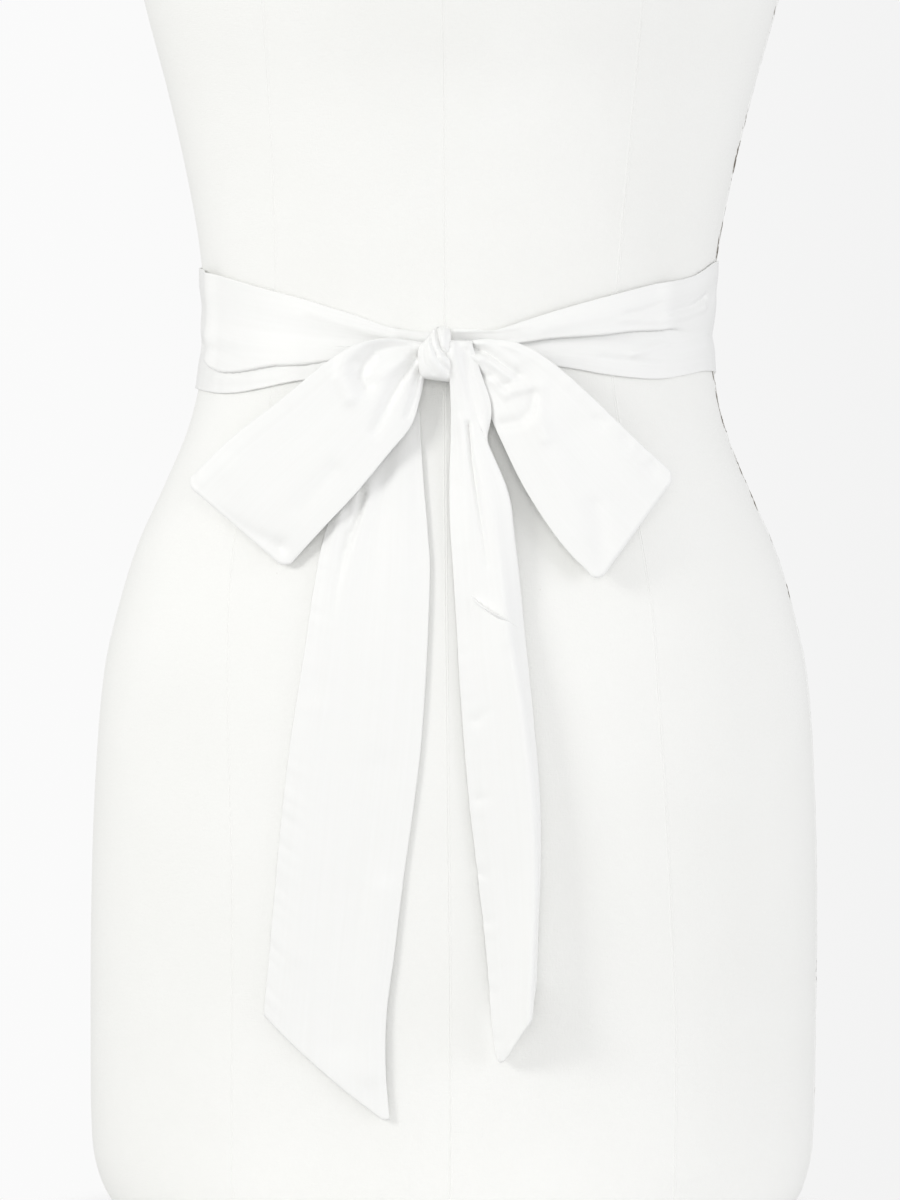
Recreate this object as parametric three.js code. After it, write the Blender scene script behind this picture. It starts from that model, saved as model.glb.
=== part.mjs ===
// A satin sash tied in a bow round the waist of a limbless dress form.
// Millimetres, +Z up. The front faces -Y, and the origin is the middle of the underside of the base
// board, which is the flat face that the form stands on.
// The sash is one long ribbon. Each stretch of it that shows is a solid of its own: the waistband in
// three stretches, the knot, two loops and two tails. A ribbon's section keeps its full arc length
// wherever it is gathered: the cloth waves in and out instead of shrinking.
import * as THREE from "three";

// Driving dimensions
const SASH_WIDTH = 60;
const CLOTH = 1; // wall of the folded and pressed ribbon
const SEAM_GAP = 0.4; // clear distance between neighbouring pieces
const BAND_LIFT = 1; // from the form's skin to the waistband's inner face
const END_SLANT = 49; // how much longer one edge of a tail is than the other
const SECTION_POWER = 2.2; // a level section of the form is a superellipse of this power
const FORM_SEGMENTS = 48;
const BOARD_HEIGHT = 9.6;
const CAP_HEIGHT = 12;

// The dress form: half width at each height, and depth to the front and the back of the axis.
const FORM = [
  { z: 10, half: 150, front: 84, back: 96 },
  { z: 14, half: 158, front: 92, back: 105 },
  { z: 22, half: 164.5, front: 97, back: 112 },
  { z: 34, half: 170, front: 101, back: 116 },
  { z: 50, half: 173, front: 103, back: 118 },
  { z: 94, half: 174, front: 104.5, back: 121 },
  { z: 166, half: 174, front: 106.5, back: 126 },
  { z: 224, half: 172.3, front: 108, back: 128 },
  { z: 277, half: 168, front: 107, back: 124 },
  { z: 310, half: 160.5, front: 104.5, back: 118 },
  { z: 337, half: 152, front: 101, back: 112 },
  { z: 365, half: 139.5, front: 95.5, back: 103 },
  { z: 392, half: 128.5, front: 89, back: 94 },
  { z: 420, half: 122.2, front: 83, back: 87 },
  { z: 445, half: 121, front: 80, back: 84 },
  { z: 478, half: 123.8, front: 81.5, back: 85 },
  { z: 512, half: 130, front: 86, back: 88 },
  { z: 550, half: 138.8, front: 95, back: 92 },
  { z: 598, half: 151.5, front: 113, back: 97 },
  { z: 628, half: 157, front: 119, back: 99 },
  { z: 670, half: 160, front: 113, back: 101 },
  { z: 715, half: 160, front: 96, back: 100 },
  { z: 755, half: 156, front: 79, back: 91 },
  { z: 782, half: 141, front: 68, back: 79 },
  { z: 802, half: 112, front: 60, back: 69 },
  { z: 818, half: 82, front: 55, back: 62 },
  { z: 832, half: 64, front: 51, back: 58 },
  { z: 850, half: 55.5, front: 49, back: 55 },
  { z: 893, half: 53, front: 48, back: 53 },
];

// The waistband's edges by angle round the form: 0 is the centre front, positive to the right as seen
// from the front. The ribbon is gathered where its edges are closer than its width.
const BAND = [
  { angle: -180, top: 470, bottom: 410.5 },
  { angle: -90, top: 468, bottom: 409 },
  { angle: -58, top: 463, bottom: 407.5 },
  { angle: -38, top: 454, bottom: 411 },
  { angle: -26, top: 447, bottom: 413.5 },
  { angle: -12, top: 438.5, bottom: 415.5 },
  { angle: -3, top: 436.5, bottom: 416 },
  { angle: 3, top: 437.5, bottom: 418 },
  { angle: 12, top: 437, bottom: 421 },
  { angle: 25, top: 448, bottom: 424.5 },
  { angle: 38, top: 456.5, bottom: 418 },
  { angle: 55, top: 461, bottom: 415.5 },
  { angle: 90, top: 471, bottom: 417 },
  { angle: 180, top: 470, bottom: 410.5 },
];
const BAND_STRETCHES = [
  { name: "waist_left", from: -90, to: -4, rows: 13 },
  { name: "waist_right", from: 1, to: 90, rows: 13 },
  { name: "waist_back", from: 90, to: 270, rows: 19 },
];

// Each loop leaves the knot, folds flat at its far end and comes back behind itself. a is its upper
// edge and b its lower edge; gapA and gapB are the space behind each, between the loop's two layers.
const LOOP_LEFT = [
  { t: 0, ax: -13.8, ay: -93.6, az: 431, bx: -13.8, by: -93.6, bz: 418, gapA: 3, gapB: 3 },
  { t: 0.12, ax: -24, ay: -97, az: 433.5, bx: -14.5, by: -96.5, bz: 405, gapA: 5, gapB: 4 },
  { t: 0.25, ax: -38, ay: -99.5, az: 431, bx: -17, by: -99.5, bz: 394, gapA: 8, gapB: 5 },
  { t: 0.4, ax: -54, ay: -100, az: 422, bx: -25, by: -102, bz: 382, gapA: 10, gapB: 5 },
  { t: 0.6, ax: -76, ay: -97, az: 405, bx: -40, by: -103.4, bz: 363, gapA: 9, gapB: 3.8 },
  { t: 0.8, ax: -97, ay: -92, az: 388, bx: -56, by: -102.4, bz: 346, gapA: 6, gapB: 3.2 },
  { t: 1, ax: -118, ay: -85, az: 369, bx: -71.5, by: -99.5, bz: 330, gapA: 3.4, gapB: 3.4 },
];
const LOOP_RIGHT = [
  { t: 0, ax: 5.4, ay: -92.6, az: 431, bx: 5.4, by: -91.6, bz: 418, gapA: 3, gapB: 2.6 },
  { t: 0.12, ax: 18, ay: -94.6, az: 433, bx: 13, by: -92, bz: 415, gapA: 4.4, gapB: 2.8 },
  { t: 0.25, ax: 33, ay: -98, az: 431, bx: 19.5, by: -94, bz: 403, gapA: 8, gapB: 3.5 },
  { t: 0.4, ax: 46, ay: -99.5, az: 424, bx: 26, by: -98, bz: 390, gapA: 9.5, gapB: 5 },
  { t: 0.6, ax: 64, ay: -98.5, az: 410, bx: 37, by: -103, bz: 367, gapA: 8.5, gapB: 5.5 },
  { t: 0.8, ax: 84, ay: -94, az: 392, bx: 53, by: -103.5, bz: 344, gapA: 6, gapB: 4.5 },
  { t: 1, ax: 103.5, ay: -87, az: 373, bx: 69.5, by: -101, bz: 325, gapA: 3.4, gapB: 3.4 },
];

// The left tail lies on the form: its edges across the front, and how far each stands off the form.
const TAIL_LEFT = [
  { z: 409, a: -25, b: -16, standA: 2, standB: 2.4 },
  { z: 400, a: -31, b: -16, standA: 1.8, standB: 2.2 },
  { z: 372, a: -45, b: -12, standA: 1.7, standB: 2.2 },
  { z: 345, a: -54.5, b: -8.5, standA: 1.6, standB: 2.4 },
  { z: 327, a: -58.5, b: -6.5, standA: 1.6, standB: 2.6 },
  { z: 298, a: -62.4, b: -6.5, standA: 1.7, standB: 2.8 },
  { z: 262, a: -68.6, b: -8.5, standA: 1.8, standB: 3 },
  { z: 228, a: -72, b: -11.5, standA: 1.8, standB: 3 },
  { z: 204, a: -75, b: -15, standA: 1.8, standB: 3 },
  { z: 167, a: -78, b: -19.5, standA: 1.8, standB: 3 },
  { z: 142, a: -80, b: -22.5, standA: 2, standB: 3.2 },
  { z: 98, a: -84, b: -25, standA: 2.2, standB: 3.8 },
  { z: 71, a: -86, b: -21.5, standA: 2.6, standB: 4.4 },
];
const TAIL_LEFT_SHORT_EDGE = 120.5;

// The right tail hangs free and is creased along its length. From its left edge the cloth rises off the
// form at the angle rise as far as crease (measured across the ribbon), then turns back under itself at
// the angle fall. Near the knot it lies over the start of the right loop, so its right edge stands out
// by lean.
const TAIL_RIGHT = [
  { z: 429, a: 4.6, b: 12.5, stand: 16, lean: 0, rise: 30, crease: 26, fall: 100 },
  { z: 412, a: 3, b: 17.2, stand: 13, lean: 1.5, rise: 30, crease: 26, fall: 100 },
  { z: 391, a: 2.7, b: 24.3, stand: 8, lean: 5, rise: 30, crease: 28, fall: 110 },
  { z: 350, a: 2.6, b: 31, stand: 4, lean: 2, rise: 28, crease: 32, fall: 135 },
  { z: 300, a: 6.7, b: 36, stand: 2.4, lean: 0, rise: 27, crease: 35, fall: 146 },
  { z: 255, a: 9.5, b: 41.2, stand: 2, lean: 0, rise: 25, crease: 36.5, fall: 150 },
  { z: 187, a: 17, b: 45.6, stand: 2, lean: 0, rise: 27, crease: 34.5, fall: 147 },
  { z: 150, a: 21.5, b: 44.5, stand: 2.2, lean: 0, rise: 32, crease: 30.5, fall: 146 },
  { z: 106, a: 26, b: 43, stand: 2.6, lean: 0, rise: 36, crease: 26, fall: 146 },
];
const TAIL_RIGHT_LONG_EDGE = 106;
const CREASE_ROUND = 6; // the length of cloth that the soft crease takes to turn
const CREASED_BELOW = 330; // under this height the tail is creased, and above GATHERED_ABOVE gathered
const GATHERED_ABOVE = 400;

// The knot: a short bundle of cloth wrapped over the crossing, leaning to the right at its top.
const KNOT = { x: -4.3, y: -94, z: 425, half: 7, deep: 8, tall: 12.5, lean: 0.22, rings: 8, segments: 22 };

const COLUMNS = 19; // points across a ribbon: six steps to each wave
const GATHER_WAVES = 3;
const GATHER_STEEPEST = 1; // radians; a ribbon gathered further than this is squeezed evenly
const FLATTENED = 0.35; // how deep the waves are left where one layer presses on another
const SAMPLES = 96; // steps in which a section is summed

const satin = new THREE.MeshStandardMaterial({ color: 0xf7f7f3, roughness: 0.38, metalness: 0 });
const canvas = new THREE.MeshStandardMaterial({ color: 0xf0f0ec, roughness: 0.9, metalness: 0 });
const board = new THREE.MeshStandardMaterial({ color: 0xe6e2d8, roughness: 0.6, metalness: 0 });

// The value of a table's column at a place, on a smooth curve through the rows.
function lookUp(table, key, at, column) {
  const last = table.length - 1;
  let i = 0;
  while (i < last - 1 && at > table[i + 1][key]) i += 1;
  const slope = (k) => {
    const before = table[Math.max(k - 1, 0)];
    const after = table[Math.min(k + 1, last)];
    return (after[column] - before[column]) / (after[key] - before[key]);
  };
  const span = table[i + 1][key] - table[i][key];
  const t = (at - table[i][key]) / span;
  const rise = table[i + 1][column] - table[i][column];
  const first = slope(i) * span;
  const second = slope(i + 1) * span;
  return table[i][column] + t * (first + t * (3 * rise - 2 * first - second + t * (first + second - 2 * rise)));
}

const upward = (table) => [...table].sort((p, q) => p.z - q.z);
const smooth = (x) => {
  const t = Math.min(1, Math.max(0, x));
  return t * t * (3 - 2 * t);
};

// The form's skin at a height: by angle round the axis, or on the front at a distance to the side.
function formPoint(angle, z) {
  const s = Math.sin(angle);
  const c = Math.cos(angle);
  const depth = lookUp(FORM, "z", z, c > 0 ? "front" : "back");
  return new THREE.Vector3(
    lookUp(FORM, "z", z, "half") * Math.sign(s) * Math.abs(s) ** (2 / SECTION_POWER),
    -depth * Math.sign(c) * Math.abs(c) ** (2 / SECTION_POWER),
    z,
  );
}

function formFront(x, z) {
  const share = Math.min(0.999, Math.abs(x) / lookUp(FORM, "z", z, "half"));
  return -lookUp(FORM, "z", z, "front") * (1 - share ** SECTION_POWER) ** (1 / SECTION_POWER);
}

// A ribbon's section, summed along its width from the angle of the cloth at each step.
function sumSection(angleAt) {
  const line = [{ along: 0, out: 0 }];
  const step = SASH_WIDTH / SAMPLES;
  for (let i = 0; i < SAMPLES; i += 1) {
    const angle = angleAt((i + 0.5) * step);
    const { along, out } = line[i];
    line.push({ along: along + Math.cos(angle) * step, out: out + Math.sin(angle) * step });
  }
  return line;
}

// The section of a ribbon gathered to a given span: waves just steep enough to take up its width.
function gatheredSection(span, waves = GATHER_WAVES) {
  const at = (steepness) =>
    sumSection((s) => steepness * Math.sin((2 * Math.PI * waves * s) / SASH_WIDTH));
  let low = 0;
  let high = GATHER_STEEPEST;
  for (let i = 0; i < 24; i += 1) {
    const middle = (low + high) / 2;
    if (at(middle)[SAMPLES].along > span) low = middle;
    else high = middle;
  }
  const line = at(low);
  const squeeze = span / line[SAMPLES].along;
  return line.map(({ along, out }) => ({ along: along * squeeze, out: out * squeeze }));
}

// A point of a section at a share of the ribbon's width.
function onSection(line, share) {
  const place = Math.min(SAMPLES - 1e-6, share * SAMPLES);
  const i = Math.floor(place);
  const t = place - i;
  return {
    along: line[i].along + (line[i + 1].along - line[i].along) * t,
    out: line[i].out + (line[i + 1].out - line[i].out) * t,
  };
}

// A closed wall of even thickness about a grid of points: rows of columns.
function wall(grid, thickness = CLOTH) {
  const rows = grid.length;
  const columns = grid[0].length;
  const positions = [];
  const normalAt = (i, j) => {
    const down = grid[Math.min(i + 1, rows - 1)][j].clone().sub(grid[Math.max(i - 1, 0)][j]);
    const side = grid[i][Math.min(j + 1, columns - 1)].clone().sub(grid[i][Math.max(j - 1, 0)]);
    return down.cross(side).normalize();
  };
  for (const side of [0.5, -0.5]) {
    grid.forEach((row, i) =>
      row.forEach((p, j) => positions.push(p.clone().addScaledVector(normalAt(i, j), side * thickness))),
    );
  }
  const at = (face, i, j) => face * rows * columns + i * columns + j;
  const faces = [];
  const quad = (a, b, c, d) => faces.push(a, b, c, a, c, d);
  for (let i = 0; i < rows - 1; i += 1) {
    for (let j = 0; j < columns - 1; j += 1) {
      quad(at(0, i, j), at(0, i + 1, j), at(0, i + 1, j + 1), at(0, i, j + 1));
      quad(at(1, i, j), at(1, i, j + 1), at(1, i + 1, j + 1), at(1, i + 1, j));
    }
    quad(at(0, i, 0), at(1, i, 0), at(1, i + 1, 0), at(0, i + 1, 0));
    quad(at(0, i, columns - 1), at(0, i + 1, columns - 1), at(1, i + 1, columns - 1), at(1, i, columns - 1));
  }
  for (let j = 0; j < columns - 1; j += 1) {
    quad(at(0, 0, j), at(0, 0, j + 1), at(1, 0, j + 1), at(1, 0, j));
    quad(at(0, rows - 1, j), at(1, rows - 1, j), at(1, rows - 1, j + 1), at(0, rows - 1, j + 1));
  }
  return solid(positions, faces);
}

function solid(points, faces) {
  const geometry = new THREE.BufferGeometry();
  geometry.setAttribute("position", new THREE.Float32BufferAttribute(points.flatMap((p) => p.toArray()), 3));
  geometry.setIndex(faces);
  geometry.computeVertexNormals();
  return geometry;
}

// A closed skin through rings of points, each ring counter-clockwise from above, with flat ends.
function skin(rings) {
  const n = rings[0].length;
  const points = rings.flat();
  const faces = [];
  rings.slice(1).forEach((_, i) => {
    for (let j = 0; j < n; j += 1) {
      const k = (j + 1) % n;
      const low = i * n;
      const high = low + n;
      faces.push(low + j, low + k, high + k, low + j, high + k, high + j);
    }
  });
  [rings[0], rings.at(-1)].forEach((ring, end) => {
    const first = end * (points.length - n);
    const centre = points.length + end;
    for (let j = 0; j < n; j += 1) {
      const k = (j + 1) % n;
      faces.push(centre, first + (end ? j : k), first + (end ? k : j));
    }
  });
  for (const ring of [rings[0], rings.at(-1)]) {
    points.push(ring.reduce((sum, p) => sum.add(p), new THREE.Vector3()).divideScalar(n));
  }
  return solid(points, faces);
}

const share = (i, count) => i / (count - 1);
const range = (count) => Array.from({ length: count }, (_, i) => i);
const formRing = (z, inset = 0) =>
  range(FORM_SEGMENTS).map((i) => {
    const p = formPoint((2 * Math.PI * i) / FORM_SEGMENTS, z);
    return p.multiplyScalar(1 - inset / Math.hypot(p.x, p.y)).setZ(z);
  });

// The torso: a smooth closed skin from the hem to the neck, with a ring between each pair of rows.
function torso() {
  const heights = FORM.flatMap((row, i) => {
    const next = FORM[i + 1];
    return next && next.z - row.z > 12 ? [row.z, (row.z + next.z) / 2] : [row.z];
  });
  return skin(heights.map((z) => formRing(z)));
}

function baseBoard() {
  const hem = FORM[0].z;
  const outline = formRing(hem, 4);
  return skin([outline.map((p) => p.clone().setZ(0)), outline.map((p) => p.clone().setZ(BOARD_HEIGHT))]);
}

// The neck cap: a shallow dome.
function neckCap() {
  const neck = FORM.at(-1).z;
  const rise = [0, 0.35, 0.75, 1].map((h) => ({ h, inset: 22 * h ** 3 }));
  return skin(rise.map(({ h, inset }) => formRing(neck, inset).map((p) => p.setZ(neck + SEAM_GAP + h * CAP_HEIGHT))));
}

// A stretch of the waistband: the gathered section stands on the form's skin and hangs from its top edge.
function waistband({ from, to, rows }) {
  const seam = (SEAM_GAP / FORM[14].half) * (90 / Math.PI);
  const grid = range(rows).map((i) => {
    const angle = from + seam + (to - from - 2 * seam) * share(i, rows);
    const turn = angle > 180 ? angle - 360 : angle;
    const top = lookUp(BAND, "angle", turn, "top");
    const line = gatheredSection(top - lookUp(BAND, "angle", turn, "bottom"));
    const inmost = Math.min(...line.map((p) => p.out));
    return range(COLUMNS).map((j) => {
      const { along, out } = onSection(line, share(j, COLUMNS));
      const skinPoint = formPoint((angle * Math.PI) / 180, top - along);
      const outward = new THREE.Vector3(skinPoint.x, skinPoint.y * 1.6, 0).normalize();
      return skinPoint.addScaledVector(outward, BAND_LIFT + CLOTH / 2 + out - inmost);
    });
  });
  return wall(grid);
}

// One layer of a loop: points across the ribbon between its edges at a station t.
function loopLayer(table, t, back) {
  const read = (column) => lookUp(table, "t", t, column);
  const upper = new THREE.Vector3(read("ax"), read("ay"), read("az"));
  const lower = new THREE.Vector3(read("bx"), read("by"), read("bz"));
  const across = lower.clone().sub(upper);
  const line = gatheredSection(Math.min(across.length(), SASH_WIDTH));
  across.normalize();
  const outward = new THREE.Vector3(0, -1, 0).addScaledVector(across, across.y).normalize();
  return range(COLUMNS).map((j) => {
    const { along, out } = onSection(line, share(j, COLUMNS));
    const depth = back ? read("gapA") + (read("gapB") - read("gapA")) * share(j, COLUMNS) : 0;
    return upper
      .clone()
      .addScaledVector(across, along)
      .addScaledVector(outward, (back ? -FLATTENED : 1) * out - depth);
  });
}

function loop(table) {
  const rows = 8;
  const turnRows = 3;
  const front = range(rows).map((i) => loopLayer(table, share(i, rows) ** 1.2, false));
  const behind = range(rows).map((i) => loopLayer(table, share(i, rows) ** 1.2, true));
  const radius = table.at(-1).gapA / 2;
  const turn = range(turnRows).map((k) => {
    const angle = (Math.PI * (k + 1)) / (turnRows + 1);
    return front[rows - 1].map((p, j) => {
      const onward = p.clone().sub(front[rows - 2][j]).setY(0).normalize();
      return p
        .clone()
        .lerp(behind[rows - 1][j], (1 - Math.cos(angle)) / 2)
        .addScaledVector(onward, radius * Math.sin(angle));
    });
  });
  return wall([...front, ...turn, ...behind.reverse()]);
}

// The left tail: gathered at the knot, full width below, following the form's front.
function tailLeft() {
  const rows = 18;
  const table = upward(TAIL_LEFT);
  const [end, start] = [table[0].z, table.at(-1).z];
  const grid = range(rows).map((i) =>
    range(COLUMNS).map((j) => {
      const across = share(j, COLUMNS);
      const hem = TAIL_LEFT_SHORT_EDGE - END_SLANT * across;
      const z = start + (Math.max(hem, end) - start) * share(i, rows);
      const read = (column) => lookUp(table, "z", z, column);
      const [a, b] = [read("a"), read("b")];
      const { along, out } = onSection(gatheredSection(Math.min(SASH_WIDTH, b - a)), across);
      const stand = read("standA") + (read("standB") - read("standA")) * across;
      return new THREE.Vector3(a + along, formFront(a + along, z) - stand - out * FLATTENED, z);
    }),
  );
  return wall(grid);
}

// The right tail: gathered at the knot, creased along its length below.
function tailRight() {
  const rows = 18;
  const table = upward(TAIL_RIGHT);
  const [end, start] = [table[0].z, table.at(-1).z];
  const grid = range(rows).map((i) =>
    range(COLUMNS).map((j) => {
      const across = share(j, COLUMNS);
      const hem = TAIL_RIGHT_LONG_EDGE + END_SLANT * across;
      const z = start + (Math.max(hem, end) - start) * share(i, rows);
      const read = (column) => lookUp(table, "z", z, column);
      const gathered = onSection(gatheredSection(read("b") - read("a"), 2), across);
      const rise = THREE.MathUtils.degToRad(read("rise"));
      const fall = THREE.MathUtils.degToRad(read("fall"));
      const creaseAt = read("crease");
      const creasedLine = sumSection(
        (s) => rise - (rise + fall) * smooth((s - creaseAt) / CREASE_ROUND + 0.5),
      );
      const creased = onSection(creasedLine, across);
      const blend = smooth((GATHERED_ABOVE - z) / (GATHERED_ABOVE - CREASED_BELOW));
      const x = read("a") + gathered.along + (creased.along - gathered.along) * blend;
      const out = read("stand") + read("lean") * across + gathered.out + (creased.out - gathered.out) * blend;
      return new THREE.Vector3(x, formFront(x, z) - Math.max(out, 1.5), z);
    }),
  );
  return wall(grid);
}

// The knot: rings along X, fullest in the middle, each shifted with height so that the wrap leans.
function knot() {
  const { x, y, z, half, deep, tall, lean, rings, segments } = KNOT;
  const bead = range(rings).map((i) => {
    const across = 2 * share(i, rings) - 1;
    const fullness = (1 - 0.55 * Math.abs(across) ** 2.6) ** 0.8;
    return range(segments).map((j) => {
      const angle = (2 * Math.PI * j) / segments;
      const up = Math.sin(angle) * tall * fullness;
      return new THREE.Vector3(x + across * half + lean * up, y + Math.cos(angle) * deep * fullness, z + up);
    });
  });
  return skin(bead);
}

const part = new THREE.Group();
function add(name, geometry, material) {
  const mesh = new THREE.Mesh(geometry, material);
  mesh.name = name;
  part.add(mesh);
}

add("form_torso", torso(), canvas);
add("form_base_board", baseBoard(), board);
add("form_neck_cap", neckCap(), board);
for (const stretch of BAND_STRETCHES) add(stretch.name, waistband(stretch), satin);
add("knot", knot(), satin);
add("loop_left", loop(LOOP_LEFT), satin);
add("loop_right", loop(LOOP_RIGHT), satin);
add("tail_left", tailLeft(), satin);
add("tail_right", tailRight(), satin);

export default part;
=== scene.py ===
import math

import bpy
import numpy as np
from mathutils import Matrix, Vector


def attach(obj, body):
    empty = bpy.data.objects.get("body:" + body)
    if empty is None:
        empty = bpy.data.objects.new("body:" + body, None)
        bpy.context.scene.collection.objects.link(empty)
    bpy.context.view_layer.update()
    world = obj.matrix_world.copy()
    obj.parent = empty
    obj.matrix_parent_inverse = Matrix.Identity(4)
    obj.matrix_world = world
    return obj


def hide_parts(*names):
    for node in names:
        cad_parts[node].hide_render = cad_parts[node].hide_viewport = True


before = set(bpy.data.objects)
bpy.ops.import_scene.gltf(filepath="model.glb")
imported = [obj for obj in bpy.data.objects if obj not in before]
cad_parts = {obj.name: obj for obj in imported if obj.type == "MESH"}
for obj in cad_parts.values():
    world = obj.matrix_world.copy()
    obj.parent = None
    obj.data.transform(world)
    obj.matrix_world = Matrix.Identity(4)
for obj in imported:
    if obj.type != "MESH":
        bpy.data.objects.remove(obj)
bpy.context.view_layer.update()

# Camera. It stands a little to the right of the form's front and a little above the bow, 2.3 m away,
# with a long lens, and is turned very slightly about its own axis.
MM = 0.001
TARGET = np.array([-2.6, 0.0, 310.0])
DISTANCE, AZIMUTH, ELEVATION, ROLL = 2300.0, math.radians(3.0), math.radians(2.0), math.radians(0.45)
SENSOR, MM_ACROSS_HEIGHT = 36.0, 576.0

camera_back = np.array(
    [math.sin(AZIMUTH) * math.cos(ELEVATION), -math.cos(AZIMUTH) * math.cos(ELEVATION), math.sin(ELEVATION)]
)
level_right = np.array([math.cos(AZIMUTH), math.sin(AZIMUTH), 0.0])
level_up = np.cross(camera_back, level_right)
camera_right = level_right * math.cos(ROLL) + level_up * math.sin(ROLL)
camera_up = level_up * math.cos(ROLL) - level_right * math.sin(ROLL)
camera_data = bpy.data.cameras.new("camera")
camera_data.sensor_width = SENSOR
camera_data.lens = SENSOR * DISTANCE / MM_ACROSS_HEIGHT
camera_data.clip_end = 50
camera = bpy.data.objects.new("camera", camera_data)
place = Matrix.Identity(4)
for column, axis in enumerate((camera_right, camera_up, camera_back, (TARGET + camera_back * DISTANCE) * MM)):
    for row in range(3):
        place[row][column] = axis[row]
camera.matrix_world = place
bpy.context.scene.collection.objects.link(camera)
bpy.context.scene.camera = camera

# The dress form: a limbless torso of papier-mache under white painted canvas. Its level sections are
# superellipses; the rows give the half width, and the depth to the front and to the back of the axis.
SECTION_POWER = 2.2
FORM = np.array([
    # height, half width, front, back
    (10, 150, 84, 96), (14, 158, 92, 105), (22, 164.5, 97, 112), (34, 170, 101, 116),
    (50, 173, 103, 118), (94, 174, 104.5, 121), (166, 174, 106.5, 126), (224, 172.3, 108, 128),
    (277, 168, 107, 124), (310, 160.5, 104.5, 118), (337, 152, 101, 112), (365, 139.5, 95.5, 103),
    (392, 128.5, 89, 94), (420, 122.2, 83, 87), (445, 121, 80, 84), (478, 123.8, 81.5, 85),
    (512, 130, 86, 88), (550, 138.8, 95, 92), (598, 151.5, 113, 97), (628, 157, 119, 99),
    (670, 160, 113, 101), (715, 160, 96, 100), (755, 156, 79, 91), (782, 141, 68, 79),
    (802, 112, 60, 69), (818, 82, 55, 62), (832, 64, 51, 58), (850, 55.5, 49, 55), (893, 53, 48, 53),
], dtype=float)
HALF, FRONT, BACK = 1, 2, 3


def curve(rows, at, column):
    """A smooth curve through one column of a table, read at many places of its first column."""
    rows = np.asarray(rows, dtype=float)
    key, value = rows[:, 0], rows[:, column]
    slope = np.empty_like(value)
    slope[1:-1] = (value[2:] - value[:-2]) / (key[2:] - key[:-2])
    slope[0] = (value[1] - value[0]) / (key[1] - key[0])
    slope[-1] = (value[-1] - value[-2]) / (key[-1] - key[-2])
    at = np.clip(at, key[0], key[-1])
    i = np.clip(np.searchsorted(key, at, "right") - 1, 0, len(key) - 2)
    span = key[i + 1] - key[i]
    t = (at - key[i]) / span
    rise, first, second = value[i + 1] - value[i], slope[i] * span, slope[i + 1] * span
    return value[i] + t * (first + t * (3 * rise - 2 * first - second + t * (first + second - 2 * rise)))


def form_skin(angle, z, lift=0.0):
    """Points on the form by angle round it (0 is the centre front, then towards +X), lifted off it."""
    angle, z = np.broadcast_arrays(np.asarray(angle, float), np.asarray(z, float))
    s, c = np.sin(angle), np.cos(angle)
    half = curve(FORM, z, HALF)
    depth = np.where(c > 0, curve(FORM, z, FRONT), curve(FORM, z, BACK))
    x = half * np.sign(s) * np.abs(s) ** (2 / SECTION_POWER)
    y = -depth * np.sign(c) * np.abs(c) ** (2 / SECTION_POWER)
    power = SECTION_POWER - 1
    nx = np.sign(x) * (np.abs(x) / half) ** power / half
    ny = np.sign(y) * (np.abs(y) / depth) ** power / depth
    size = np.hypot(nx, ny)
    return np.stack([x + nx / size * lift, y + ny / size * lift, z], axis=-1)


def form_front(x, z):
    """How far in front of the axis the form's skin is (a negative Y)."""
    share = np.minimum(0.999, np.abs(x) / curve(FORM, z, HALF))
    return -curve(FORM, z, FRONT) * (1 - share**SECTION_POWER) ** (1 / SECTION_POWER)


def mesh_piece(name, points, faces, corner_uv=None):
    """A smooth-shaded mesh from points in millimetres, with the UVs of its faces' corners in metres."""
    mesh = bpy.data.meshes.new(name)
    mesh.from_pydata((points * MM).tolist(), [], faces.tolist() if hasattr(faces, "tolist") else faces)
    if corner_uv is not None:
        layer = mesh.uv_layers.new(name="cloth")
        layer.data.foreach_set("uv", (corner_uv * MM).ravel())
    mesh.polygons.foreach_set("use_smooth", [True] * len(mesh.polygons))
    mesh.update()
    piece = bpy.data.objects.new(name, mesh)
    bpy.context.scene.collection.objects.link(piece)
    return piece


def put(tree, kind, settings=None, **inputs):
    """Adds a node. Its inputs are numbers, colours or other nodes' sockets; i0, i1... name them by order."""
    node = tree.nodes.new("ShaderNode" + kind)
    for key, value in (settings or {}).items():
        setattr(node, key, value)
    for key, value in inputs.items():
        socket = node.inputs[int(key[1:])] if key[1:].isdigit() else node.inputs[key.replace("_", " ")]
        if isinstance(value, bpy.types.NodeSocket):
            tree.links.new(value, socket)
        else:
            socket.default_value = value
    return node


def new_material(name, roughness, **constants):
    """A material with one Principled shader; its constant values are set on its own sockets."""
    material = bpy.data.materials.new(name)
    material.use_nodes = True
    shader = material.node_tree.nodes["Principled BSDF"]
    shader.inputs["Roughness"].default_value = roughness
    for key, value in constants.items():
        shader.inputs[key.replace("_", " ")].default_value = value
    return material, material.node_tree, shader


def two_tones(tree, factor, low, low_colour, high, high_colour):
    """A colour that goes evenly from one tone to another between two values of its factor."""
    ramp = put(tree, "ValToRGB", Fac=factor)
    for element, at, colour in zip(ramp.color_ramp.elements, (low, high), (low_colour, high_colour)):
        element.position = at
        element.color = (*colour, 1)
    return ramp.outputs[0]


def stripes(tree, vector, direction, spacing):
    """Evenly spaced threads: a wave whose period is spacing, in metres."""
    return put(tree, "TexWave", {"bands_direction": direction}, Vector=vector, Scale=math.pi / 10 / spacing)


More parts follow.
